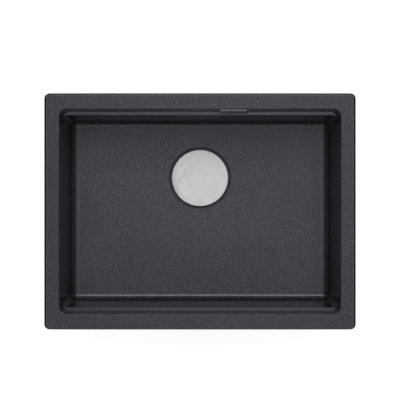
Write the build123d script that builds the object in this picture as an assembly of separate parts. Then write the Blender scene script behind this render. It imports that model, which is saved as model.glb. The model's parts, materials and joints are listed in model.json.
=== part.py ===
from build123d import *
import os
from math import atan2, cos, degrees, hypot, pi, radians, sin, sqrt, tan

# An undermount kitchen sink in granite composite, with its basket waste and its overflow.
# Millimetres. +Z is up, +X runs along the sink and +Y towards the wall behind it.
# The origin is the middle of the rim's top face, which lies against the underside of the worktop.

# ---- Rim: the flat ring under the worktop ----
rim_length = 580.0
rim_width = 440.0
rim_side_band = 28.3
rim_end_band = 30.0
rim_thickness = 10.0
rim_corner_radius = 10.0
rim_edge_radius = 2.0
rim_root_radius = 4.0

# ---- Bowl ----
bowl_depth = 200.0
bowl_corner_radius = 12.5
bowl_edge_radius = 2.0
wall_draft = 2.0
wall_thickness = 9.0
ledge_depth = 45.0
ledge_width = 7.0
ledge_edge = 0.8
ledge_root = 0.8
ledge_corner_radius = 16.0
collar_edge_radius = 1.5
lower_corner_radius = 10.5
floor_bend_radius = 10.0
floor_fall = 1.0
floor_thickness = 14.0
underside_bend_radius = 16.0

# ---- Waste: the recess in the floor and the parts that are clamped through it ----
waste_x = 0.0
waste_to_back_wall = 125.0
recess_diameter = 122.0
recess_depth = 7.0
recess_edge_radius = 1.2
waste_hole_diameter = 90.0

sheet = 1.0
flange_diameter = 108.0
flange_mouth_radius = 3.0
cup_diameter = 82.0
cup_depth = 35.5
throat_diameter = 62.0
throat_depth = 7.0
drain_slots = 6
drain_slot_width = 9.0
drain_slot_head_gap = 1.5
drain_slot_rim_gap = 2.0
flange_gasket_thickness = 1.5
gasket_margin = 1.0

body_gasket_thickness = 2.5
body_flange_diameter = 112.0
body_flange_thickness = 4.5
body_wall = 3.0
body_root_radius = 1.0
body_bore_diameter = 90.0
barrel_depth = 36.0
funnel_depth = 12.0
outlet_length = 28.0
outlet_thread_diameter = 47.8
outlet_thread_pitch = 2.309
outlet_thread_depth = 1.48
thread_groove_share = 0.44
outlet_bore_diameter = 40.0
boss_diameter = 20.0
boss_length = 15.0
boss_below_flange = 2.5
web_below_boss_top = 1.0
web_count = 4
web_thickness = 3.0

bolt_diameter = 8.0
bolt_head_across_flats = 17.0
bolt_head_height = 5.0
nut_across_flats = 13.0
nut_height = 6.5
bolt_end = 2.5
bolt_end_chamfer = 0.8

# ---- Push-to-open cartridge ----
cartridge_diameter = 17.0
cartridge_height = 22.0
cartridge_bore_diameter = 11.2
cartridge_floor = 3.0
cartridge_stub_diameter = 6.0
cartridge_stub_length = 3.5
cap_height = 3.0
plunger_head_height = 3.0
plunger_stem_diameter = 7.0
plunger_proud = 4.0
plunger_tip_radius = 0.6
plunger_clearance = 0.1
open_travel = 7.0
travel_spare = 0.6
spring_wire = 0.8
spring_turns = 4
spring_side_clearance = 0.5

# ---- Strainer basket, its stopper and the cover ----
basket_top_diameter = 75.0
basket_bottom_diameter = 68.0
basket_lip_diameter = 80.0
basket_height = 28.5
basket_sheet = 0.8
basket_hole_diameter = 3.0
basket_hole_rings = 2
basket_hole_ring_step = 6.0
basket_hole_pitch = 6.0
basket_slot_count = 24
basket_slot_width = 2.6
basket_slot_height = 12.0
basket_slot_rise = 7.0
stopper_plate_diameter = 52.0
stopper_plate_thickness = 1.5
stopper_seal_diameter = 74.0
stopper_seal_thickness = 2.5
knob_wall = 2.8
knob_slide_clearance = 0.7
knob_foot_diameter = 31.0
knob_foot_height = 3.5
neck_wall = 1.3
neck_height = 11.0
knob_roof = 3.0
knob_foot_edge_radius = 1.0
socket_depth = 5.5
socket_clearance = 0.1
peg_end_gap = 1.0

cover_diameter = 112.0
cover_thickness = 2.0
cover_edge_radius = 0.8
cover_bevel_width = 2.4
cover_bevel_drop = 0.3
cover_proud = 1.2
cover_boss_diameter = 40.0
cover_boss_thickness = 2.0
cover_peg_diameter = 10.8

# ---- Overflow ----
overflow_x = 62.5
overflow_depth = 27.0
overflow_slot_length = 46.0
overflow_slot_height = 14.0
overflow_cover_length = 54.0
overflow_cover_height = 33.0
overflow_cover_rise = 4.5
overflow_cover_proud = 4.0
overflow_cover_corner = 3.0
overflow_cover_edge_radius = 1.2
overflow_inlet_length = 40.0
overflow_inlet_height = 3.0
frame_thickness = 1.0
frame_clearance = 0.15
frame_window_length = 26.0
screw_spacing = 36.0
screw_diameter = 4.0
screw_head_diameter = 6.6
screw_head_height = 1.5
screw_bite = 8.0
overflow_gasket_height = 24.0
overflow_gasket_thickness = 2.0
housing_depth = 17.0
housing_wall = 2.5
housing_corner_radius = 2.5
housing_top_radius = 1.5
housing_foot_margin = 1.5
housing_height_above = 13.0
housing_drop = 33.0
housing_boss_diameter = 8.0
housing_spigot_wall_gap = 15.3

# ---- Overflow hose and its two unions ----
spigot_diameter = 21.0
spigot_bore_diameter = 16.0
spigot_length = 16.0
hose_seal_thickness = 2.0
collar_clearance = 0.3
union_nut_diameter = 27.0
union_nut_length = 22.0
union_nut_wall = 2.0
union_nut_grips = 12
union_nut_grip_radius = 1.3
union_clearance = 0.1
union_thread_cover = 12.0
hose_collar_length = 3.0
hose_cuff_diameter = 18.8
hose_cuff_length = 14.0
hose_rib_diameter = 23.0
hose_root_diameter = 19.0
hose_bore_diameter = 17.0
hose_rib_pitch = 4.5
hose_rib_steps = (0.15, 0.35, 0.65, 0.85)
hose_bend_radius = 48.0
inlet_depth = 20.0

# Cutting tools run past the faces that they cut through by this much.
over_cut = 1.0

# ---- Heights and places that follow from the sizes above ----
lean = tan(radians(wall_draft))
fall = tan(radians(floor_fall))
bowl_length = rim_length - 2 * rim_side_band
bowl_width = rim_width - 2 * rim_end_band
waste_y = bowl_width / 2 - waste_to_back_wall
floor_z = -bowl_depth
underside_z = floor_z - floor_thickness
recess_z = floor_z - recess_depth
recess_radius = recess_diameter / 2
waste_hole_radius = waste_hole_diameter / 2
collar_length = bowl_length + 2 * wall_thickness
collar_width = bowl_width + 2 * wall_thickness
collar_bottom_z = -(ledge_depth + wall_thickness)
ledge_z = -ledge_depth
lower_length = bowl_length - 2 * ledge_depth * lean
lower_width = bowl_width - 2 * ledge_depth * lean - 2 * ledge_width

flange_top_z = recess_z + flange_gasket_thickness + sheet
cup_radius = cup_diameter / 2
throat_radius = throat_diameter / 2
seat_z = flange_top_z - cup_depth
spider_z = seat_z - throat_depth
bolt_head_top_z = spider_z + bolt_head_height

body_flange_radius = body_flange_diameter / 2
body_gasket_radius = body_flange_radius - gasket_margin
body_gasket_bore_radius = waste_hole_radius + gasket_margin
body_top_z = underside_z - body_gasket_thickness
barrel_bottom_z = body_top_z - barrel_depth
outlet_top_z = barrel_bottom_z - funnel_depth
outlet_end_z = outlet_top_z - outlet_length
body_bore_radius = body_bore_diameter / 2
body_radius = body_bore_radius + body_wall
outlet_bore_radius = outlet_bore_diameter / 2
outlet_radius = outlet_thread_diameter / 2
boss_top_z = spider_z - sheet - boss_below_flange
boss_bottom_z = boss_top_z - boss_length
nut_z = boss_bottom_z

cartridge_top_z = bolt_head_top_z + cartridge_height
cap_top_z = cartridge_top_z + cap_height
cartridge_floor_z = bolt_head_top_z + cartridge_floor
plunger_radius = cartridge_bore_diameter / 2 - plunger_clearance
plunger_head_top_z = cartridge_top_z - open_travel - travel_spare
plunger_head_bottom_z = plunger_head_top_z - plunger_head_height
plunger_top_z = cap_top_z + plunger_proud

stopper_plate_z = seat_z - stopper_plate_thickness
seal_top_z = seat_z + stopper_seal_thickness
basket_floor_z = seal_top_z + basket_sheet
knob_bore_radius = cartridge_diameter / 2 + knob_slide_clearance
neck_radius = knob_bore_radius + neck_wall
knob_radius = neck_radius + knob_wall
knob_shoulder_z = plunger_top_z + knob_roof
socket_radius = cover_peg_diameter / 2 + socket_clearance
knob_top_z = knob_shoulder_z + socket_depth
cover_top_z = floor_z + cover_proud
cover_bottom_z = cover_top_z - cover_thickness
boss_face_z = cover_bottom_z - cover_boss_thickness

overflow_z = -overflow_depth
overflow_wall_y = bowl_width / 2 - overflow_depth * lean
collar_back_y = collar_width / 2
housing_front_y = collar_back_y + overflow_gasket_thickness
housing_back_y = housing_front_y + housing_depth
housing_top_z = overflow_z + housing_height_above
housing_bottom_z = overflow_z - housing_drop
lower_back_y = lower_width / 2 + wall_thickness
hose_y = lower_back_y + housing_spigot_wall_gap
spigot_radius = spigot_diameter / 2
spigot_bore_radius = spigot_bore_diameter / 2
inlet_z = underside_z - body_gasket_thickness - inlet_depth

# Line from the waste's axis to the foot of the hose's upright run, in plan.
to_hose_x = overflow_x - waste_x
to_hose_y = hose_y - waste_y
hose_reach = hypot(to_hose_x, to_hose_y)
inlet_angle = degrees(atan2(to_hose_y, to_hose_x))
inlet_end = body_radius + spigot_length

waste_axis = Pos(waste_x, waste_y, 0)
upright_axis = Pos(overflow_x, hose_y, housing_bottom_z) * Rot(180, 0, 0)
inlet_turn = Pos(0, 0, inlet_z) * Rot(0, 0, inlet_angle) * Rot(0, 90, 0)
inlet_axis = waste_axis * inlet_turn
overflow_face = Plane(
    origin=(overflow_x, overflow_wall_y, overflow_z),
    x_dir=(1, 0, 0),
    z_dir=(0, -cos(radians(wall_draft)), sin(radians(wall_draft))),
)


# ---- Helpers ----
def turned(points):
    """A solid turned about the Z axis from a closed outline of (radius, height) points."""
    outline = make_face(Plane.XZ * Polyline(*points, close=True))
    return revolve(outline, Axis.Z, 360)


def tube(outer_radius, inner_radius, top_z, bottom_z):
    """A plain ring or tube about the Z axis."""
    return turned([
        (inner_radius, bottom_z),
        (outer_radius, bottom_z),
        (outer_radius, top_z),
        (inner_radius, top_z),
    ])


def rod(radius, top_z, bottom_z):
    """A plain cylinder about the Z axis."""
    return Pos(0, 0, bottom_z) * extrude(Circle(radius), top_z - bottom_z)


def hexagon(across_flats, top_z, bottom_z):
    """A hexagonal prism about the Z axis."""
    outline = RegularPolygon(across_flats / 2, 6, major_radius=False)
    return Pos(0, 0, bottom_z) * extrude(outline, top_z - bottom_z)


def block(x_size, y_size, z_size, x, y, z):
    """A box of the given size, centred on the given point."""
    return Pos(x, y, z) * Box(x_size, y_size, z_size)


def well(length, width, mouth_corner, foot_corner, top_z, depth, lean_in=1.0):
    """A space with rounded corners whose walls lean in, by a multiple of the draft, as it goes down."""
    shrink = 2 * depth * lean * lean_in
    mouth = Pos(0, 0, top_z) * RectangleRounded(length, width, mouth_corner)
    foot = Pos(0, 0, top_z - depth) * RectangleRounded(length - shrink, width - shrink, foot_corner)
    return loft([mouth, foot], ruled=True)


def edges_at(solid, z, tolerance=0.01):
    """The edges of a solid that lie flat at one height."""
    return ShapeList(
        edge
        for edge in solid.edges()
        if abs(edge.bounding_box().min.Z - z) < tolerance
        and abs(edge.bounding_box().max.Z - z) < tolerance
    )


def edges_within(edges, length, width, tolerance=0.01):
    """Those of the edges that lie, in plan, within a rectangle about the middle of the bowl."""
    return ShapeList(
        edge
        for edge in edges
        if edge.bounding_box().max.X < length / 2 + tolerance
        and edge.bounding_box().min.X > -length / 2 - tolerance
        and edge.bounding_box().max.Y < width / 2 + tolerance
        and edge.bounding_box().min.Y > -width / 2 - tolerance
    )


# ---- Bowl ----
def bowl_outside():
    """The casting's outer form: rim plate, thick collar down to the ledge, and the bowl below."""
    rim = Pos(0, 0, -rim_thickness) * extrude(
        RectangleRounded(rim_length, rim_width, rim_corner_radius), rim_thickness
    )
    rim = fillet(edges_at(rim, 0) + edges_at(rim, -rim_thickness), rim_edge_radius)
    collar = Pos(0, 0, collar_bottom_z) * extrude(
        RectangleRounded(collar_length, collar_width, bowl_corner_radius + wall_thickness),
        -collar_bottom_z - rim_thickness / 2,
    )
    collar = fillet(edges_at(collar, collar_bottom_z), collar_edge_radius)
    below_corner = lower_corner_radius + wall_thickness
    below = well(
        lower_length + 2 * wall_thickness,
        lower_width + 2 * wall_thickness,
        below_corner,
        below_corner,
        ledge_z,
        ledge_z - underside_z,
    )
    below = fillet(edges_at(below, underside_z), underside_bend_radius)
    outside = rim + collar
    root = edges_within(edges_at(outside, -rim_thickness), collar_length, collar_width)
    outside = fillet(root, rim_root_radius)
    return outside + below


def floor_ground():
    """Everything below the floor's surface, which falls gently to the waste from all sides."""
    far = rim_length
    ground = turned([
        (0, floor_z),
        (recess_radius, floor_z),
        (far, floor_z + (far - recess_radius) * fall),
        (far, floor_z - bowl_depth),
        (0, floor_z - bowl_depth),
    ])
    return waste_axis * Rot(0, 0, 90) * ground


def points_at_waste(edge):
    """True for an edge that starts or ends at the waste, as the floor cone's own seam does."""
    first = edge @ 0
    last = edge @ 1
    near = hypot(first.X - waste_x, first.Y - waste_y)
    away = hypot(last.X - waste_x, last.Y - waste_y)
    return min(near, away) < recess_radius + 1


def bowl_mouth():
    """The space above the ledges, with a sloped root where the ledges meet the walls."""
    depth = ledge_depth - ledge_root
    mouth = well(bowl_length, bowl_width, bowl_corner_radius, ledge_corner_radius, 0, depth)
    root = well(
        bowl_length - 2 * depth * lean,
        bowl_width - 2 * depth * lean,
        ledge_corner_radius,
        ledge_corner_radius,
        -depth,
        ledge_root,
        1 / lean,
    )
    return mouth + root


def bowl_lower():
    """The space between the ledges, down to the floor and its bend."""
    depth = bowl_depth + floor_bend_radius / 2
    lower = well(
        bowl_length,
        bowl_width - 2 * ledge_width,
        lower_corner_radius,
        lower_corner_radius,
        0,
        depth,
    )
    lower = lower - floor_ground()
    floor_edges = ShapeList(
        edge
        for edge in lower.edges()
        if edge.bounding_box().max.Z < ledge_z
        and edge.bounding_box().size.Z < floor_thickness
        and not points_at_waste(edge)
    )
    return fillet(floor_edges, floor_bend_radius)


def bowl_inside():
    """The space that is cut out, with the ledges' edges broken."""
    edge = well(
        lower_length,
        lower_width + 2 * ledge_edge,
        lower_corner_radius,
        lower_corner_radius,
        ledge_z,
        ledge_edge,
        1 / lean,
    )
    return bowl_mouth() + bowl_lower() + edge


def sink_bowl():
    bowl = bowl_outside() - bowl_inside()
    lip = edges_within(edges_at(bowl, 0), bowl_length, bowl_width, 0.5)
    bowl = fillet(lip, bowl_edge_radius)
    bowl = bowl - waste_axis * rod(recess_radius, floor_z + over_cut, recess_z)
    bowl = bowl - waste_axis * rod(waste_hole_radius, recess_z + over_cut, underside_z - over_cut)
    mouth = ShapeList(
        edge
        for edge in bowl.edges()
        if abs(edge.bounding_box().size.X - recess_diameter) < 0.1
        and abs(edge.bounding_box().max.Z - floor_z) < 0.1
    )
    bowl = fillet(mouth, recess_edge_radius)
    slot = Plane.XZ * SlotOverall(overflow_slot_length, overflow_slot_height)
    slot = extrude(slot, collar_width - lower_width, both=True)
    return bowl - Pos(overflow_x, collar_back_y, overflow_z) * slot


# ---- Waste, from the flange down ----
def waste_flange():
    """Pressed steel flange and cup, with slots round the bolt hole in its bottom."""
    cup = turned([
        (cup_radius + sheet, flange_top_z - sheet),
        (flange_diameter / 2, flange_top_z - sheet),
        (flange_diameter / 2, flange_top_z),
        (cup_radius, flange_top_z),
        (cup_radius, seat_z),
        (throat_radius, seat_z),
        (throat_radius, spider_z),
        (bolt_diameter / 2, spider_z),
        (bolt_diameter / 2, spider_z - sheet),
        (throat_radius + sheet, spider_z - sheet),
        (throat_radius + sheet, seat_z - sheet),
        (cup_radius + sheet, seat_z - sheet),
    ])
    cup = fillet(edges_at(cup, flange_top_z).sort_by(SortBy.RADIUS)[0], flange_mouth_radius)
    slot_inner = bolt_head_across_flats / sqrt(3) + drain_slot_head_gap
    slot_outer = throat_radius - drain_slot_rim_gap
    slot_length = slot_outer - slot_inner
    slot = SlotOverall(slot_length, drain_slot_width)
    for turn in range(drain_slots):
        place = Rot(0, 0, 360 * turn / drain_slots) * Pos((slot_inner + slot_outer) / 2, 0, spider_z)
        cup = cup - place * extrude(slot, 2 * sheet, both=True)
    return waste_axis * cup


def flange_gasket():
    return waste_axis * tube(
        flange_diameter / 2 - gasket_margin,
        waste_hole_radius + gasket_margin,
        recess_z + flange_gasket_thickness,
        recess_z,
    )


def body_gasket():
    return waste_axis * tube(body_gasket_radius, body_gasket_bore_radius, underside_z, body_top_z)


def outlet_thread_groove(index):
    """One turn of the outlet's thread, as a plain V groove round the spigot."""
    z = outlet_end_z + outlet_thread_pitch * (index + 1)
    half = outlet_thread_pitch * thread_groove_share
    outside = outlet_radius + outlet_thread_depth / 3
    return turned([
        (outlet_radius - outlet_thread_depth, z),
        (outside, z - half),
        (outside, z + half),
    ])


def waste_body():
    """Moulded body under the floor: flange, barrel, funnel, threaded outlet, hub and overflow inlet."""
    body = turned([
        (body_bore_radius, body_top_z),
        (body_flange_radius, body_top_z),
        (body_flange_radius, body_top_z - body_flange_thickness),
        (body_radius, body_top_z - body_flange_thickness),
        (body_radius, barrel_bottom_z),
        (outlet_radius, outlet_top_z),
        (outlet_radius, outlet_end_z),
        (outlet_bore_radius, outlet_end_z),
        (outlet_bore_radius, outlet_top_z),
        (body_bore_radius, barrel_bottom_z),
    ])
    rims = edges_at(body, body_top_z - body_flange_thickness).sort_by(SortBy.RADIUS)
    body = fillet(rims[-1], body_root_radius)
    body = body + inlet_turn * rod(spigot_radius, inlet_end, body_radius - body_wall / 2)
    body = body - inlet_turn * rod(spigot_bore_radius, inlet_end + over_cut, body_bore_radius - body_wall)
    web_top_z = boss_top_z - web_below_boss_top
    web_length = 2 * body_radius - body_wall
    space = turned([
        (0, web_top_z),
        (body_bore_radius + body_wall / 2, web_top_z),
        (body_bore_radius + body_wall / 2, barrel_bottom_z),
        (outlet_bore_radius + body_wall / 2, outlet_top_z),
        (outlet_bore_radius + body_wall / 2, boss_bottom_z),
        (0, boss_bottom_z),
    ])
    webs = Part()
    for turn in range(web_count // 2):
        web = Box(web_length, web_thickness, web_top_z - boss_bottom_z)
        webs = webs + Rot(0, 0, 45 + 90 * turn) * Pos(0, 0, (web_top_z + boss_bottom_z) / 2) * web
    body = body + (webs & space) + rod(boss_diameter / 2, boss_top_z, boss_bottom_z)
    body = body - rod(bolt_diameter / 2, boss_top_z + over_cut, boss_bottom_z - over_cut)
    body = body - hexagon(nut_across_flats, nut_z + nut_height, nut_z - over_cut)
    grooves = int((outlet_length - outlet_thread_pitch * 2) / outlet_thread_pitch)
    for index in range(grooves):
        body = body - outlet_thread_groove(index)
    return waste_axis * body


def centre_bolt():
    """The bolt that pulls flange and body together through the floor."""
    shank = rod(bolt_diameter / 2, spider_z, nut_z - bolt_end)
    shank = chamfer(edges_at(shank, nut_z - bolt_end), bolt_end_chamfer)
    head = hexagon(bolt_head_across_flats, bolt_head_top_z, spider_z)
    bolt = head + shank
    return waste_axis * (bolt - cartridge_stub(over_cut))


def clamp_nut():
    nut = hexagon(nut_across_flats, nut_z + nut_height, nut_z)
    bore = rod(bolt_diameter / 2, nut_z + nut_height + over_cut, nut_z - over_cut)
    return waste_axis * (nut - bore)


# ---- Push-to-open cartridge ----
def cartridge_stub(above):
    """The stub under the cartridge that sits in the bolt's head, or the hole for it."""
    bottom_z = bolt_head_top_z - cartridge_stub_length
    return rod(cartridge_stub_diameter / 2, bolt_head_top_z + above, bottom_z)


def cartridge_body():
    body = rod(cartridge_diameter / 2, cartridge_top_z, bolt_head_top_z)
    body = body + cartridge_stub(cartridge_floor / 2)
    bore = rod(cartridge_bore_diameter / 2, cartridge_top_z + over_cut, cartridge_floor_z)
    return waste_axis * (body - bore)


def cartridge_cap():
    cap = tube(
        cartridge_diameter / 2,
        plunger_stem_diameter / 2 + plunger_clearance,
        cap_top_z,
        cartridge_top_z,
    )
    rim = edges_at(cap, cap_top_z).sort_by(SortBy.RADIUS)[-1]
    return waste_axis * chamfer(rim, cap_height / 4)


def cartridge_plunger():
    plunger = rod(plunger_radius, plunger_head_top_z, plunger_head_bottom_z)
    plunger = plunger + rod(plunger_stem_diameter / 2, plunger_top_z, plunger_head_top_z)
    return waste_axis * fillet(edges_at(plunger, plunger_top_z), plunger_tip_radius)


def cartridge_spring():
    """An open coil spring, one unbroken wire of arcs that each make a quarter turn."""
    coil_radius = cartridge_bore_diameter / 2 - spring_side_clearance - spring_wire / 2
    low = cartridge_floor_z + spring_wire / 2
    high = plunger_head_bottom_z - spring_wire / 2
    pitch = (high - low) / spring_turns
    steps = spring_turns * 4
    climb = pitch / 4
    points = [
        Vector(
            coil_radius * cos(pi / 2 * step),
            coil_radius * sin(pi / 2 * step),
            low + climb * step,
        )
        for step in range(steps + 1)
    ]
    heading = Vector(0, 1, climb / (coil_radius * sqrt(2)))
    arcs = []
    for start, end in zip(points, points[1:]):
        arc = TangentArc(start, end, tangent=heading)
        arcs.append(arc)
        heading = arc % 1
    wire = Wire(arcs)
    print("spring: least gap between turns", round(pitch - spring_wire, 2))
    profile = Plane(origin=wire @ 0, z_dir=wire % 0) * Circle(spring_wire / 2)
    return waste_axis * sweep(profile, path=wire)


# ---- Strainer basket, stopper and cover ----
def stopper_plate():
    plate = tube(stopper_plate_diameter / 2, knob_bore_radius, seat_z, stopper_plate_z)
    neck = tube(neck_radius, knob_bore_radius, seat_z + neck_height, stopper_plate_z)
    return waste_axis * (plate + neck)


def stopper_seal():
    seal = tube(stopper_seal_diameter / 2, neck_radius, seal_top_z, seat_z)
    rim = edges_at(seal, seal_top_z).sort_by(SortBy.RADIUS)[-1]
    return waste_axis * fillet(rim, stopper_seal_thickness / 3)


def basket_wall_radius(height):
    """The basket's outer radius at a height above its bottom."""
    share = height / basket_height
    return (basket_bottom_diameter + (basket_top_diameter - basket_bottom_diameter) * share) / 2


def strainer_basket():
    """Pressed steel basket: slots round its wall, and rings of holes in its bottom."""
    bottom_z = seal_top_z
    top_z = bottom_z + basket_height
    wall_bottom = basket_bottom_diameter / 2
    wall_top = basket_top_diameter / 2
    lip = basket_lip_diameter / 2
    basket = turned([
        (neck_radius, bottom_z),
        (wall_bottom, bottom_z),
        (wall_top, top_z - basket_sheet),
        (lip, top_z - basket_sheet),
        (lip, top_z),
        (wall_top - basket_sheet, top_z),
        (wall_bottom - basket_sheet, bottom_z + basket_sheet),
        (neck_radius, bottom_z + basket_sheet),
    ])
    slot = Plane.YZ * SlotOverall(basket_slot_height, basket_slot_width, rotation=90)
    slot_z = bottom_z + basket_slot_rise + basket_slot_height / 2
    slot_radius = basket_wall_radius(basket_slot_rise + basket_slot_height / 2)
    slots = [
        Rot(0, 0, 360 * turn / basket_slot_count)
        * Pos(slot_radius, 0, slot_z)
        * extrude(slot, 3 * basket_sheet, both=True)
        for turn in range(basket_slot_count)
    ]
    outer_ring = wall_bottom - basket_sheet - basket_hole_diameter
    holes = []
    for ring in range(basket_hole_rings):
        radius = outer_ring - ring * basket_hole_ring_step
        count = int(2 * pi * radius / basket_hole_pitch)
        hole = rod(basket_hole_diameter / 2, bottom_z + 2 * basket_sheet, bottom_z - basket_sheet)
        holes += [Rot(0, 0, 360 * turn / count) * Pos(radius, 0, 0) * hole for turn in range(count)]
    return waste_axis * (basket - slots - holes)


def basket_knob():
    """The knob that screws down on the stopper's neck, clamps the basket and carries the cover."""
    knob = turned([
        (neck_radius, basket_floor_z),
        (knob_foot_diameter / 2, basket_floor_z),
        (knob_foot_diameter / 2, basket_floor_z + knob_foot_height),
        (knob_radius, basket_floor_z + knob_foot_height),
        (knob_radius, knob_shoulder_z),
        (knob_radius, knob_top_z),
        (socket_radius, knob_top_z),
        (socket_radius, knob_shoulder_z),
        (0, knob_shoulder_z),
        (0, plunger_top_z),
        (knob_bore_radius, plunger_top_z),
        (knob_bore_radius, seat_z + neck_height),
        (neck_radius, seat_z + neck_height),
    ])
    rims = edges_at(knob, basket_floor_z + knob_foot_height).sort_by(SortBy.RADIUS)
    return waste_axis * fillet(rims[-1], knob_foot_edge_radius)


def waste_cover():
    """The round steel disc that lies over the waste, nearly flush with the floor, its rim sloped."""
    radius = cover_diameter / 2
    rim_z = cover_top_z - cover_bevel_drop
    cover = turned([
        (0, cover_bottom_z),
        (radius, cover_bottom_z),
        (radius, rim_z),
        (radius - cover_bevel_width, cover_top_z),
        (0, cover_top_z),
    ])
    return waste_axis * fillet(edges_at(cover, rim_z), cover_edge_radius)


def cover_boss():
    """The moulded boss bonded under the cover, with the peg that plugs into the knob."""
    peg_end_z = knob_shoulder_z + peg_end_gap
    boss = turned([
        (0, cover_bottom_z),
        (cover_boss_diameter / 2, cover_bottom_z),
        (cover_boss_diameter / 2, boss_face_z),
        (knob_radius, boss_face_z),
        (knob_radius, knob_top_z),
        (cover_peg_diameter / 2, knob_top_z),
        (cover_peg_diameter / 2, peg_end_z),
        (0, peg_end_z),
    ])
    return waste_axis * boss


# ---- Overflow ----
def overflow_cover():
    """Folded steel cover over the overflow: open at its back, with the inlet along its lower edge."""
    outer = extrude(
        RectangleRounded(overflow_cover_length, overflow_cover_height, overflow_cover_corner),
        overflow_cover_proud,
    )
    front = ShapeList(outer.faces().sort_by(Axis.Z)[-1].edges())
    outer = fillet(front, overflow_cover_edge_radius)
    inner = extrude(
        RectangleRounded(
            overflow_cover_length - 2 * sheet,
            overflow_cover_height - 2 * sheet,
            overflow_cover_corner - sheet,
        ),
        overflow_cover_proud - sheet,
    )
    cover = outer - inner
    inlet = Box(overflow_inlet_length, 4 * sheet, overflow_inlet_height - sheet)
    low = -overflow_cover_height / 2
    cover = cover - Pos(0, low, frame_thickness + (overflow_inlet_height - sheet) / 2) * inlet
    return overflow_face * Pos(0, overflow_cover_rise, 0) * cover


def overflow_frame():
    """Moulded plate under the cover, which the cover clips on and the screws hold to the wall."""
    length = overflow_cover_length - 2 * sheet - 2 * frame_clearance
    height = overflow_cover_height - 2 * sheet - 2 * frame_clearance
    plate = extrude(
        RectangleRounded(length, height, overflow_cover_corner - sheet - frame_clearance), frame_thickness
    )
    window = extrude(overflow_window(), 3 * frame_thickness, both=True)
    plate = overflow_face * (Pos(0, overflow_cover_rise, 0) * plate - window)
    for side in (-1, 1):
        plate = plate - screw_place(side) * screw_shank()
    return plate


def overflow_window():
    """The opening that the water takes through the frame and into the housing."""
    return Rectangle(frame_window_length, overflow_slot_height - 2 * sheet)


def screw_place(side):
    """The seat of one overflow screw, its axis level and running back through the wall."""
    x = overflow_x + side * screw_spacing / 2
    return Pos(x, overflow_wall_y - frame_thickness, overflow_z) * Rot(-90, 0, 0)


def screw_shank():
    """A screw's shank, from inside its head back into the housing's boss."""
    length = housing_front_y + screw_bite - overflow_wall_y + frame_thickness
    return rod(screw_diameter / 2, length, -screw_head_height / 2)


def overflow_screws():
    """Two alike screws, one at each end of the slot."""
    screws = []
    for side in (-1, 1):
        head = rod(screw_head_diameter / 2, -lean * screw_head_diameter / 2, -screw_head_height)
        screws.append(screw_place(side) * (head + screw_shank()))
    return Compound(children=screws)


def overflow_gasket():
    outline = RectangleRounded(
        overflow_cover_length, overflow_gasket_height, overflow_cover_corner
    ) - SlotOverall(overflow_slot_length, overflow_slot_height)
    ring = extrude(Plane.XZ * outline, overflow_gasket_thickness)
    return Pos(overflow_x, housing_front_y, overflow_z) * ring


def overflow_housing():
    """Moulded box behind the wall that takes the overflow water down to its spigot."""
    length = overflow_cover_length
    height = housing_top_z - housing_bottom_z
    middle_z = (housing_top_z + housing_bottom_z) / 2
    middle_y = (housing_front_y + housing_back_y) / 2
    box = block(length, housing_depth, height, 0, middle_y, middle_z)
    box = fillet(box.edges().filter_by(Axis.Z), housing_corner_radius)
    box = fillet(box.edges().group_by(Axis.Z)[-1], housing_top_radius)
    inner = block(
        length - 2 * housing_wall,
        housing_depth - 2 * housing_wall,
        height - 2 * housing_wall,
        0,
        middle_y,
        middle_z,
    )
    foot_radius = spigot_radius + housing_foot_margin
    foot = Pos(0, hose_y, 0) * rod(foot_radius, housing_bottom_z + housing_wall, housing_bottom_z)
    box = box + foot - inner
    for side in (-1, 1):
        boss_back_y = housing_back_y - housing_wall / 2
        boss_front_y = housing_front_y + housing_wall / 2
        boss = Rot(-90, 0, 0) * rod(housing_boss_diameter / 2, boss_back_y, boss_front_y)
        box = box + Pos(side * screw_spacing / 2, 0, overflow_z) * boss
    window = extrude(Plane.XZ * overflow_window(), housing_wall + over_cut, both=True)
    box = box - Pos(0, housing_front_y, overflow_z) * window
    box = Pos(overflow_x, 0, 0) * box
    for side in (-1, 1):
        box = box - screw_place(side) * screw_shank()
    box = box + upright_axis * rod(spigot_radius, spigot_length, 0)
    return box - upright_axis * rod(spigot_bore_radius, spigot_length + over_cut, -housing_wall - over_cut)


# ---- Overflow hose and unions: each union is built on its spigot's axis, from the root outwards ----
def union_seal():
    return tube(
        spigot_radius - collar_clearance,
        spigot_bore_radius,
        spigot_length + hose_seal_thickness,
        spigot_length,
    )


def union_nut():
    """Round union nut with finger grips, whose inner lip holds the hose's collar."""
    start = spigot_length - union_thread_cover
    end = start + union_nut_length
    outer = union_nut_diameter / 2
    collar_end = spigot_length + hose_seal_thickness + hose_collar_length
    nut = turned([
        (spigot_radius + union_clearance, start),
        (outer, start),
        (outer, collar_end),
        (outer - union_nut_wall / 2, end),
        (hose_cuff_diameter / 2 + union_clearance, end),
        (hose_cuff_diameter / 2 + union_clearance, collar_end),
        (spigot_radius + union_clearance, collar_end),
    ])
    grip = rod(union_nut_grip_radius, end, start - over_cut)
    grips = [
        Rot(0, 0, 360 * turn / union_nut_grips) * Pos(outer + union_nut_grip_radius / 2, 0, 0) * grip
        for turn in range(union_nut_grips)
    ]
    return nut - grips


def hose_nuts():
    return Compound(children=[upright_axis * union_nut(), inlet_offset() * union_nut()])


def hose_seals():
    return Compound(children=[upright_axis * union_seal(), inlet_offset() * union_seal()])


def inlet_offset():
    """The root of the waste body's inlet spigot, pointing outwards."""
    return inlet_axis * Pos(0, 0, body_radius)


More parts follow.
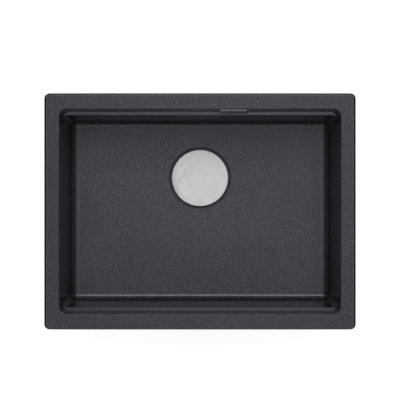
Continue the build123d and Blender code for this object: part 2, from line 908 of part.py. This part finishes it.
def hose_path():
    """The hose's middle line: down behind the bowl, one bend, and in under the floor."""
    start_z = housing_bottom_z - spigot_length - hose_seal_thickness
    end_reach = inlet_end + hose_seal_thickness
    unit_x = to_hose_x / hose_reach
    unit_y = to_hose_y / hose_reach
    top = (overflow_x, hose_y, start_z)
    corner = (overflow_x, hose_y, inlet_z)
    end = (waste_x + unit_x * end_reach, waste_y + unit_y * end_reach, inlet_z)
    return FilletPolyline(top, corner, end, radius=hose_bend_radius)


def hose_section(path, distance, radius):
    """A circle square to the hose's line, its start always turned the same way."""
    position = distance / path.length
    side = Vector(-to_hose_y, to_hose_x, 0).normalized()
    return Plane(origin=path @ position, x_dir=side, z_dir=path % position) * Circle(radius)


def overflow_hose():
    """Ribbed hose with plain cuffs and a collar at each end."""
    path = hose_path()
    length = path.length
    collar = spigot_radius - collar_clearance
    cuff = hose_cuff_diameter / 2
    root = hose_root_diameter / 2
    crest = hose_rib_diameter / 2
    ribbed = length - 2 * (hose_collar_length + hose_cuff_length)
    ribs = int(ribbed / hose_rib_pitch)
    pitch = ribbed / ribs
    start = hose_collar_length + hose_cuff_length
    stations = [(start, cuff)]
    for rib in range(ribs):
        for share, radius in zip(hose_rib_steps, (root, crest, crest, root)):
            stations.append((start + (rib + share) * pitch, radius))
    stations.append((length - start, cuff))
    sections = [hose_section(path, distance, radius) for distance, radius in stations]
    hose = loft(sections, ruled=True)
    for first, last, radius in (
        (0, hose_collar_length, collar),
        (hose_collar_length, start, cuff),
        (length - start, length - hose_collar_length, cuff),
        (length - hose_collar_length, length, collar),
    ):
        hose = hose + loft(
            [hose_section(path, first, radius), hose_section(path, last, radius)], ruled=True
        )
    bore = sweep(hose_section(path, 0, hose_bore_diameter / 2), path=path)
    print("hose: length", round(length, 1), "ribs", ribs)
    return hose - bore


# ---- Write one STEP file for each piece ----
pieces = {
    "sink_bowl": sink_bowl,
    "waste_flange": waste_flange,
    "flange_gasket": flange_gasket,
    "body_gasket": body_gasket,
    "waste_body": waste_body,
    "centre_bolt": centre_bolt,
    "clamp_nut": clamp_nut,
    "cartridge_body": cartridge_body,
    "cartridge_cap": cartridge_cap,
    "cartridge_plunger": cartridge_plunger,
    "cartridge_spring": cartridge_spring,
    "stopper_plate": stopper_plate,
    "stopper_seal": stopper_seal,
    "strainer_basket": strainer_basket,
    "basket_knob": basket_knob,
    "waste_cover": waste_cover,
    "cover_boss": cover_boss,
    "overflow_cover": overflow_cover,
    "overflow_frame": overflow_frame,
    "overflow_screws": overflow_screws,
    "overflow_gasket": overflow_gasket,
    "overflow_housing": overflow_housing,
    "overflow_hose": overflow_hose,
    "hose_nuts": hose_nuts,
    "hose_seals": hose_seals,
}

os.makedirs("parts", exist_ok=True)
for name, build in pieces.items():
    export_step(build(), f"parts/{name}.step")
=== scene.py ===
import json
import math

import bpy
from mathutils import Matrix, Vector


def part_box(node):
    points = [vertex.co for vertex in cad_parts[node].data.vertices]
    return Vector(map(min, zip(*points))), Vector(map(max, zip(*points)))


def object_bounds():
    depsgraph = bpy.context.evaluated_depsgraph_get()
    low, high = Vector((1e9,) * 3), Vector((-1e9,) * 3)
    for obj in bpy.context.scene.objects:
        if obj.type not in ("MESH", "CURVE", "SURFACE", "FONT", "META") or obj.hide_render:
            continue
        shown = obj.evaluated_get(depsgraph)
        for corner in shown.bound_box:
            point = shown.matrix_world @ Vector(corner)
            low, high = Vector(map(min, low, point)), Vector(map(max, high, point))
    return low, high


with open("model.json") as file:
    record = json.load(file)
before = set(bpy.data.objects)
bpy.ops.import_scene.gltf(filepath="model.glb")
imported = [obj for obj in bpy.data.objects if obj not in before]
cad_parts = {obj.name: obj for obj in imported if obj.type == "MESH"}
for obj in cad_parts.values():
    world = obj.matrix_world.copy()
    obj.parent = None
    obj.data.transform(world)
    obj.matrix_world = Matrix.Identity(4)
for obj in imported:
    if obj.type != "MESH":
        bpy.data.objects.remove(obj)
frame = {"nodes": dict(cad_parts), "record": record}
cad_low, cad_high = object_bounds()

# Places on the casting, in metres from the middle of the rim's top face, which is the frame's origin.
RIM_END = cad_high[0]
RIM_SIDE = cad_high[1]
MOUTH_END = 0.2617
MOUTH_SIDE = 0.1900
LEDGE_Z = -0.0450
LEDGE_EDGE = 0.1814
FLOOR_Z = -0.2000
FLOOR_END = 0.2450
FLOOR_FRONT = -0.1662
RECESS_RADIUS = 0.0610

# The round waste cover's middle and radius, and the top of the overflow cover.
cover_low, cover_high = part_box("waste_cover")
WASTE_X = (cover_low[0] + cover_high[0]) / 2
WASTE_Y = (cover_low[1] + cover_high[1]) / 2
COVER_RADIUS = (cover_high[0] - cover_low[0]) / 2
OVERFLOW_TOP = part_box("overflow_cover")[1][2]

# The part of a noise's values that is spread over a surface's lightest and darkest spots.
NARROW = (0.30, 0.70)
WIDE = (0.25, 0.75)


class Graph:
    """A material's node tree, with short ways to add and join nodes."""

    def __init__(self, name):
        self.material = bpy.data.materials.new(name)
        self.material.use_nodes = True
        self.nodes = self.material.node_tree.nodes
        self.links = self.material.node_tree.links
        self.nodes.clear()
        self.output = self.nodes.new("ShaderNodeOutputMaterial")
        self.shader = self.nodes.new("ShaderNodeBsdfPrincipled")
        self.links.new(self.shader.outputs["BSDF"], self.output.inputs["Surface"])
        self.place = self.nodes.new("ShaderNodeTexCoord").outputs["Object"]

    def put(self, socket, value):
        """Join a socket to another one, or give it a plain value."""
        if isinstance(value, bpy.types.NodeSocket):
            self.links.new(value, socket)
        else:
            socket.default_value = value

    def set(self, **values):
        """Set the shader's inputs, named with _ for a space."""
        for name, value in values.items():
            self.put(self.shader.inputs[name.replace("_", " ")], value)

    def math(self, operation, first, second=0.0):
        node = self.nodes.new("ShaderNodeMath")
        node.operation = operation
        self.put(node.inputs[0], first)
        self.put(node.inputs[1], second)
        return node.outputs[0]

    def chain(self, operation, values):
        result = values[0]
        for value in values[1:]:
            result = self.math(operation, result, value)
        return result

    def add(self, *values):
        return self.chain("ADD", values)

    def product(self, *values):
        return self.chain("MULTIPLY", values)

    def largest(self, *values):
        return self.chain("MAXIMUM", values)

    def absolute(self, value):
        return self.math("ABSOLUTE", value)

    def range(self, value, low, high, to_low=0.0, to_high=1.0, smooth=True):
        """One range of values turned into another and held at its ends."""
        node = self.nodes.new("ShaderNodeMapRange")
        node.interpolation_type = "SMOOTHSTEP" if smooth else "LINEAR"
        for name, number in (("Value", value), ("From Min", low), ("From Max", high),
                             ("To Min", to_low), ("To Max", to_high)):
            self.put(node.inputs[name], number)
        return node.outputs["Result"]

    def vary(self, noise, least, most, spread=NARROW):
        """A noise turned into values from least to most."""
        return self.range(noise, spread[0], spread[1], least, most)

    def below(self, value, full, none):
        """One up to a value, fading to nothing at a higher one."""
        return self.range(value, full, none, 1.0, 0.0)

    def band(self, value, middle, full, none):
        """One within some distance of a middle value, fading to nothing at a longer one."""
        distance = self.absolute(self.math("SUBTRACT", value, middle))
        return self.below(distance, full, none)

    def darker(self, level, mask, least):
        """A level that falls to this share of itself where the mask is full."""
        return self.product(level, self.range(mask, 0.0, 1.0, 1.0, least, False))

    def noise(self, size, detail=2.0, roughness=0.5, vector=None):
        """Noise whose features are about this many metres across."""
        node = self.nodes.new("ShaderNodeTexNoise")
        node.inputs["Scale"].default_value = 1 / size
        node.inputs["Detail"].default_value = detail
        node.inputs["Roughness"].default_value = roughness
        self.put(node.inputs["Vector"], vector or self.place)
        return node.outputs["Fac"]

    def cell_tone(self, size):
        """A random number for each cell of about this many metres."""
        node = self.nodes.new("ShaderNodeTexVoronoi")
        node.inputs["Scale"].default_value = 1 / size
        self.put(node.inputs["Vector"], self.place)
        return self.split(node.outputs["Color"])[0]

    def split(self, vector):
        node = self.nodes.new("ShaderNodeSeparateXYZ")
        self.put(node.inputs[0], vector)
        return node.outputs

    def joined(self, x, y, z):
        node = self.nodes.new("ShaderNodeCombineXYZ")
        for socket, value in zip(node.inputs, (x, y, z)):
            self.put(socket, value)
        return node.outputs[0]

    def scaled(self, x, y, z):
        """The place on the object, drawn out or squeezed along each axis."""
        node = self.nodes.new("ShaderNodeVectorMath")
        node.operation = "MULTIPLY"
        node.inputs[1].default_value = (x, y, z)
        self.put(node.inputs[0], self.place)
        return node.outputs[0]

    def rgb(self, value):
        node = self.nodes.new("ShaderNodeRGB")
        node.outputs[0].default_value = value
        return node.outputs[0]

    def mix(self, amount, first, second):
        node = self.nodes.new("ShaderNodeMix")
        node.data_type = "RGBA"
        self.put(node.inputs["Factor"], amount)
        colours = [socket for socket in node.inputs if socket.type == "RGBA"]
        self.put(colours[0], first)
        self.put(colours[1], second)
        return [socket for socket in node.outputs if socket.type == "RGBA"][0]

    def times(self, colour, factor):
        """A colour made lighter or darker by a factor."""
        node = self.nodes.new("ShaderNodeVectorMath")
        node.operation = "SCALE"
        self.put(node.inputs[0], colour)
        self.put(node.inputs["Scale"], factor)
        return node.outputs[0]

    def bump(self, height, distance, strength, normal=None):
        node = self.nodes.new("ShaderNodeBump")
        node.inputs["Strength"].default_value = strength
        node.inputs["Distance"].default_value = distance
        self.put(node.inputs["Height"], height)
        if normal:
            self.put(node.inputs["Normal"], normal)
        return node.outputs["Normal"]


class Casting(Graph):
    """A material graph that tells the places on the granite casting apart, each as a mask from 0 to 1."""

    def __init__(self, name):
        super().__init__(name)
        self.x, self.y, self.z = self.split(self.place)
        self.across = self.absolute(self.x)
        self.along = self.absolute(self.y)
        self.from_ledge = self.absolute(self.add(self.z, -LEDGE_Z))
        self.low = self.below(self.z, FLOOR_Z + 0.014, FLOOR_Z + 0.016)

    def rim_edge_shade(self):
        """The rim's outermost edge, where shade is painted: half as strong at the front and back as at the
        ends.
        """
        ends = self.range(self.across, RIM_END - 0.0038, RIM_END - 0.0030)
        sides = self.range(self.along, RIM_SIDE - 0.0012, RIM_SIDE - 0.0008)
        return self.largest(ends, self.product(sides, 0.5))

    def rim_lip_highlight(self):
        """A painted highlight line just inside the rim's edge, at the back and the ends."""
        back = self.band(self.y, RIM_SIDE - 0.0042, full=0.0008, none=0.0014)
        ends = self.band(self.across, RIM_END - 0.0047, full=0.0006, none=0.0010)
        return self.largest(back, ends)

    def wall(self):
        """The four walls inside, from just below the rim down to the floor's bend."""
        within_ends = self.below(self.across, MOUTH_END + 0.0018, MOUTH_END + 0.0028)
        within_sides = self.below(self.along, MOUTH_SIDE + 0.0020, MOUTH_SIDE + 0.0030)
        top = -0.0050
        foot = FLOOR_Z + 0.0160
        half = (top - foot) / 2
        upright = self.band(self.z, (top + foot) / 2, full=half, none=half + 0.0035)
        return self.product(within_ends, within_sides, upright)

    def ledge(self):
        """The flat tops of the two ledges."""
        flat = self.below(self.from_ledge, full=0.0005, none=0.0009)
        return self.product(flat, self.range(self.along, LEDGE_EDGE - 0.0006, LEDGE_EDGE))

    def ledge_shade_band(self):
        """The back wall close above and below its ledge, where shade is painted."""
        close = self.band(self.from_ledge, 0.0062, full=0.0045, none=0.0054)
        return self.product(close, self.range(self.y, 0.15, 0.18))

    def bend(self):
        """Where the floor turns up at its ends and front."""
        ends = self.range(self.across, FLOOR_END - 0.0015, FLOOR_END)
        front = self.below(self.y, FLOOR_FRONT, FLOOR_FRONT + 0.0014)
        return self.product(self.low, self.largest(ends, front))

    def bend_highlight(self):
        """A narrow strip of the front bend, where a highlight is painted."""
        start = self.below(self.y, FLOOR_FRONT - 0.0010, FLOOR_FRONT)
        end = self.range(self.y, FLOOR_FRONT - 0.0053, FLOOR_FRONT - 0.0038)
        return self.product(self.low, self.product(start, end))

    def floor_end_highlight(self):
        """The last few millimetres of flat floor at its ends, where a highlight is painted."""
        return self.product(self.low, self.band(self.across, FLOOR_END - 0.0025, full=0.0030, none=0.0042))

    def wall_foot_shade(self):
        """The bend under the two end walls, where shade is painted."""
        return self.product(self.low, self.band(self.across, FLOOR_END + 0.0040, full=0.0022, none=0.0040))

    def floor_light_pool(self):
        """The middle strip and both ends of the floor, where painted light makes it a little lighter."""
        strip = self.band(self.y, 0.02, full=0.05, none=0.11)
        ends = self.range(self.across, 0.12, 0.20)
        return self.product(self.low, self.largest(strip, ends))

    def recess_shade(self):
        """The waste's recess, where painted shade makes a dark ring round the cover."""
        dx = self.math("SUBTRACT", self.x, WASTE_X)
        dy = self.math("SUBTRACT", self.y, WASTE_Y)
        radius = self.math("SQRT", self.add(self.product(dx, dx), self.product(dy, dy)))
        return self.product(self.low, self.below(radius, RECESS_RADIUS - 0.0020, RECESS_RADIUS - 0.0008))


def granite():
    """Moulded stone composite: fine dark grains and a few paler ones, with painted shade and painted
    highlights at its edges, bends, ledges, floor and recess.
    """
    g = Casting("granite_composite")
    grain = g.cell_tone(0.0011)
    grit = g.noise(0.0012, detail=3.0, roughness=0.65)
    cloud = g.noise(0.0032, roughness=0.55)
    drift = g.noise(0.09)
    rim_shade = g.rim_edge_shade()
    ledge = g.ledge()
    ledge_shade = g.ledge_shade_band()
    foot = g.wall_foot_shade()
    recess_shade = g.recess_shade()

    # The level multiplies the stone's colour: 1 is plain stone.
    level = g.add(g.vary(grit, 0.6, 1.4), g.range(grain, 0, 1, -0.6, 0.6, False))
    level = g.add(level, g.vary(cloud, -0.45, 0.45), g.vary(drift, -0.05, 0.05))
    pale_grains = g.range(grain, 0.96, 0.98, 0.0, 2.0)
    level = g.largest(g.add(level, pale_grains), 0.15)
    # Painted shade: the rim's outer edge is darkened almost to black.
    level = g.darker(level, rim_shade, 0.05)
    # Painted shade: the inner walls are darkened to 0.6 of the stone.
    level = g.darker(level, g.wall(), 0.6)
    # Painted highlight on the ledge tops, stronger at the back than at the front.
    ledge_highlight = g.range(g.y, -0.1, 0.1, 0.95, 2.5)
    level = g.add(level, g.product(ledge, ledge_highlight))
    # Painted highlight along the front bend.
    level = g.add(level, g.product(g.bend_highlight(), 1.2))
    # Painted highlight along the rim's lip.
    level = g.add(level, g.product(g.rim_lip_highlight(), 0.7))
    # Painted light: the floor's middle strip and ends are made lighter.
    level = g.add(level, g.product(g.floor_light_pool(), 0.14))
    # Painted highlight on the floor's last millimetres at its ends.
    level = g.add(level, g.product(g.floor_end_highlight(), 0.35))
    # Painted shade in the bend under the end walls.
    level = g.darker(level, foot, 0.35)
    # Painted shade on the back wall beside its ledge.
    level = g.darker(level, ledge_shade, 0.35)
    # Painted shade in the waste's recess.
    level = g.darker(level, recess_shade, 0.4)
    g.set(Base_Color=g.times(g.rgb((0.0300, 0.0290, 0.0345, 1.0)), level))

    dull = g.largest(rim_shade, g.product(recess_shade, 0.3), g.product(ledge_shade, 0.3), g.product(foot, 0.3))
    rough = g.add(g.vary(cloud, 0.29, 0.21), g.vary(grit, -0.03, 0.03), g.product(dull, 0.7))
    rough = g.math("SUBTRACT", rough, g.product(g.bend(), 0.12))
    rough = g.math("SUBTRACT", rough, g.product(ledge, 0.10))
    g.set(Roughness=rough, IOR=1.5, Specular_IOR_Level=0.175, Specular_Tint=(0.87, 0.845, 1.0, 1.0))

    fine = g.bump(g.add(g.product(grit, 0.7), g.product(grain, 0.3)), distance=0.00003, strength=0.6)
    g.set(Normal=g.bump(cloud, distance=0.00012, strength=1.0, normal=fine))
    return g.material


def brushed(g, marks, colour, value, roughness, rougher=0.07, relief=0.35):
    """Bare metal of some colour, whose brush marks vary its roughness and relief."""
    g.set(Base_Color=g.times(g.rgb(colour), value), Metallic=1.0)
    g.set(Roughness=g.vary(marks, roughness - 0.05, roughness + rougher, WIDE))
    g.set(Normal=g.bump(marks, distance=0.00002, strength=relief))
    return g.material


def steel_grey(level):
    return (level, level, level * 1.003, 1.0)


def steel(name, level, roughness):
    """Bright steel with fine straight brush marks."""
    g = Graph(name)
    drawn_out = g.scaled(0.03, 1.0, 1.0)
    fine = g.noise(0.0006, detail=3.0, roughness=0.7, vector=drawn_out)
    broad = g.noise(0.0035, vector=drawn_out)
    stain = g.noise(0.03)
    value = g.add(g.vary(fine, 0.94, 1.04, WIDE), g.vary(broad, -0.03, 0.03), g.vary(stain, -0.015, 0.015))
    return brushed(g, fine, steel_grey(level), value, roughness)


def spun_steel(name, level, roughness):
    """The waste cover's steel, brushed in rings and smudged: its left has deeper rings and painted shade
    along its edge.
    """
    g = Graph(name)
    x, y, z = g.split(g.place)
    dx = g.math("SUBTRACT", x, WASTE_X)
    dy = g.math("SUBTRACT", y, WASTE_Y)
    radius = g.math("SQRT", g.add(g.product(dx, dx), g.product(dy, dy)))
    drawn_out_turn = g.product(g.math("ARCTAN2", dy, dx), 0.0012)
    rings = g.joined(radius, drawn_out_turn, z)
    fine = g.noise(0.0006, detail=3.0, roughness=0.7, vector=rings)
    broad = g.noise(0.0030, roughness=0.6, vector=rings)
    smudge = g.range(g.noise(0.016, detail=3.0, roughness=0.6), 0.48, 0.68, 0.0, -0.055)
    on_the_left = g.range(dx, -0.045, 0.0, 1.0, 0.25)
    deeper_rings = g.product(on_the_left, g.vary(broad, -0.11, 0.08))
    value = g.add(g.vary(fine, 0.94, 1.04, WIDE), smudge, deeper_rings)
    # Painted shade: the cover's left edge is made darker.
    value = g.product(value, g.range(dx, -COVER_RADIUS, -COVER_RADIUS + 0.020, 0.87, 1.0))
    return brushed(g, fine, steel_grey(level), value, roughness)


def overflow_steel(name, colour, roughness):
    """The overflow cover's steel: a dark coat over brush marks, with painted light on its top by the wall
    and painted shade towards its front.
    """
    g = Graph(name)
    fine = g.noise(0.0007, detail=3.0, roughness=0.7, vector=g.scaled(0.05, 1.0, 1.0))
    stain = g.noise(0.012)
    value = g.add(g.vary(fine, 0.88, 1.12, WIDE), g.vary(stain, -0.05, 0.05))
    x, y, z = g.split(g.place)
    elsewhere = 0.85
    on_top = g.range(z, OVERFLOW_TOP - 0.0025, OVERFLOW_TOP - 0.0010)
    # Painted light and shade on the top: lighter by the wall, darker towards the front.
    top_light_and_shade = g.range(y, MOUTH_SIDE - 0.0032, MOUTH_SIDE, 0.30, 1.15)
    change = g.product(on_top, g.math("SUBTRACT", top_light_and_shade, elsewhere))
    value = g.product(value, g.add(elsewhere, change))
    return brushed(g, fine, colour, value, roughness, rougher=0.06, relief=0.3)


def moulded(name, colour, roughness, texture):
    """Moulded polymer with a fine spark-eroded texture."""
    g = Graph(name)
    grain = g.noise(texture, detail=3.0, roughness=0.6)
    cloud = g.noise(0.02)
    level = g.add(g.vary(grain, 0.88, 1.1), g.vary(cloud, -0.05, 0.05))
    g.set(Base_Color=g.times(g.rgb(colour), level))
    g.set(Roughness=g.vary(grain, roughness - 0.06, roughness + 0.06))
    g.set(Specular_IOR_Level=0.4, Normal=g.bump(grain, distance=0.00004, strength=0.5))
    return g.material


def rubber(name):
    """Black rubber with a faint pale bloom."""
    g = Graph(name)
    grain = g.noise(0.0005, detail=3.0, roughness=0.6)
    bloom = g.noise(0.009, detail=3.0, roughness=0.6)
    level = g.add(g.vary(grain, 0.85, 1.1), g.range(bloom, 0.45, 0.75, 0.0, 0.35))
    g.set(Base_Color=g.times(g.rgb((0.021, 0.021, 0.022, 1.0)), level))
    g.set(Roughness=g.range(bloom, 0.4, 0.7, 0.62, 0.82), Specular_IOR_Level=0.3)
    g.set(Normal=g.bump(grain, distance=0.00003, strength=0.5))
    return g.material


def brass(name):
    """Turned brass, a little tarnished."""
    g = Graph(name)
    turned_marks = g.noise(0.0005, roughness=0.6, vector=g.scaled(0.05, 0.05, 1.0))
    tarnish = g.noise(0.006, detail=3.0, roughness=0.6)
    bright = g.rgb((0.63, 0.43, 0.17, 1.0))
    dull = g.rgb((0.36, 0.22, 0.09, 1.0))
    base = g.mix(g.range(tarnish, 0.45, 0.75, 0.0, 0.7), bright, dull)
    g.set(Base_Color=g.times(base, g.vary(turned_marks, 0.9, 1.06, WIDE)), Metallic=1.0)
    g.set(Roughness=g.range(tarnish, 0.3, 0.75, 0.26, 0.48))
    g.set(Normal=g.bump(turned_marks, distance=0.00002, strength=0.3))
    return g.material


def plated(name):
    """Zinc plating: bright patches of slightly different tone."""
    g = Graph(name)
    patch = g.cell_tone(0.0021)
    fine = g.noise(0.0006, detail=3.0, roughness=0.6)
    level = g.add(g.range(patch, 0, 1, 0.92, 1.06, False), g.vary(fine, -0.04, 0.04))
    g.set(Base_Color=g.times(g.rgb((0.55, 0.55, 0.53, 1.0)), level), Metallic=1.0)
    g.set(Roughness=g.vary(fine, 0.26, 0.4), Normal=g.bump(fine, distance=0.00002, strength=0.3))
    return g.material


def dress_nodes():
    """Give every CAD node the finish of its material slot, and the waste cover its own."""
    finishes = {
        "granite_composite": granite(),
        "brushed_steel": steel("brushed_steel", level=0.60, roughness=0.32),
        "black_polymer": moulded("black_polymer", (0.024, 0.024, 0.026, 1.0), roughness=0.5, texture=0.0006),
        "grey_polymer": moulded("grey_polymer", (0.27, 0.28, 0.29, 1.0), roughness=0.42, texture=0.0008),
        "black_rubber": rubber("black_rubber"),
        "brass": brass("brass"),
        "plated_steel": plated("plated_steel"),
        "gunmetal_steel": overflow_steel("gunmetal_steel", (0.13, 0.13, 0.142, 1.0), roughness=0.5),
    }
    finish_of_node = {row["node"]: finishes[row["material_slot"]] for row in frame["record"]["subparts"]}
    finish_of_node["waste_cover"] = spun_steel("spun_steel", level=0.475, roughness=0.66)
    for name, node in frame["nodes"].items():
        node.data.materials.clear()
        node.data.materials.append(finish_of_node[name])


def seen_plainly(nodes, links):
    """One for what the camera sees, directly, in a mirror or through glass."""
    path = nodes.new("ShaderNodeLightPath")
    total = path.outputs["Is Camera Ray"]
    for kind in ("Is Glossy Ray", "Is Transmission Ray"):
        step = nodes.new("ShaderNodeMath")
        step.operation = "ADD"
        step.use_clamp = True
        links.new(total, step.inputs[0])
        links.new(path.outputs[kind], step.inputs[1])
        total = step.outputs[0]
    return total


def blank_tree(owner):
    """The nodes and links of a world or material, emptied."""
    owner.use_nodes = True
    owner.node_tree.nodes.clear()
    return owner.node_tree.nodes, owner.node_tree.links


def ground():
    """A pale floor that shows white where light reaches it, keeps the shadow, and is clear from below."""
    size = 12.0
    paleness = 0.8
    glow_where_seen = 0.65
    mesh = bpy.data.meshes.new("ground")
    corners = [(-size, -size, 0), (size, -size, 0), (size, size, 0), (-size, size, 0)]
    mesh.from_pydata(corners, [], [(0, 1, 2, 3)])
    floor = bpy.data.objects.new("ground", mesh)
    floor.location = (0, 0, cad_low[2])
    bpy.context.scene.collection.objects.link(floor)
    material = bpy.data.materials.new("ground")
    nodes, links = blank_tree(material)

    matt = nodes.new("ShaderNodeBsdfDiffuse")
    matt.inputs["Color"].default_value = (paleness, paleness, paleness, 1.0)
    strength = nodes.new("ShaderNodeMath")
    strength.operation = "MULTIPLY"
    strength.inputs[1].default_value = glow_where_seen
    links.new(seen_plainly(nodes, links), strength.inputs[0])
    glow = nodes.new("ShaderNodeEmission")
    links.new(strength.outputs[0], glow.inputs["Strength"])
    lit = nodes.new("ShaderNodeAddShader")
    links.new(matt.outputs[0], lit.inputs[0])
    links.new(glow.outputs[0], lit.inputs[1])

    clear = nodes.new("ShaderNodeBsdfTransparent")
    side = nodes.new("ShaderNodeNewGeometry")
    pick = nodes.new("ShaderNodeMixShader")
    links.new(side.outputs["Backfacing"], pick.inputs[0])
    links.new(lit.outputs[0], pick.inputs[1])
    links.new(clear.outputs[0], pick.inputs[2])
    output = nodes.new("ShaderNodeOutputMaterial")
    links.new(pick.outputs[0], output.inputs["Surface"])
    mesh.materials.append(material)


def surroundings():
    """An even pale sky, and plain white wherever the camera or a mirror sees it."""
    sky_colour = (0.97, 0.98, 1.0, 1.0)
    sky_strength = 0.32
    world = bpy.data.worlds.new("surroundings")
    bpy.context.scene.world = world
    nodes, links = blank_tree(world)
    even = nodes.new("ShaderNodeBackground")
    even.inputs["Color"].default_value = sky_colour
    even.inputs["Strength"].default_value = sky_strength
    white = nodes.new("ShaderNodeBackground")
    white.inputs["Color"].default_value = (1.0, 1.0, 1.0, 1.0)
    white.inputs["Strength"].default_value = 1.0
    pick = nodes.new("ShaderNodeMixShader")
    links.new(seen_plainly(nodes, links), pick.inputs[0])
    links.new(even.outputs[0], pick.inputs[1])
    links.new(white.outputs[0], pick.inputs[2])
    output = nodes.new("ShaderNodeOutputWorld")
    links.new(pick.outputs[0], output.inputs["Surface"])


def lamp(name, from_zenith, side, width, level):
    """A soft light from over the wall side (1) or the front (-1), leaning right. Angles are in degrees."""
    lean = 1.5
    sun = bpy.data.lights.new(name, "SUN")
    sun.energy = level * math.pi
    sun.angle = math.radians(width)
    holder = bpy.data.objects.new(name, sun)
    holder.rotation_euler = (-side * math.radians(from_zenith), math.radians(lean), 0)
    bpy.context.scene.collection.objects.link(holder)


def set_camera():
    """A long lens that looks straight down from a little nearer the wall than the rim's middle."""
    height = 2.83
    towards_wall = 0.0212
    data = bpy.data.cameras.new("camera")
    data.lens = 136.9
    data.sensor_width = 36
    data.clip_start = 0.05
    data.clip_end = 60
    camera = bpy.data.objects.new("camera", data)
    camera.location = (0, towards_wall, height)
    bpy.context.scene.collection.objects.link(camera)
    bpy.context.scene.camera = camera


dress_nodes()
ground()
surroundings()
lamp("key", from_zenith=20, side=1, width=24, level=0.36)
lamp("second", from_zenith=25, side=-1, width=30, level=0.160)
lamp("top", from_zenith=0, side=1, width=12, level=0.04)
set_camera()
bpy.context.scene.view_settings.view_transform = "Standard"
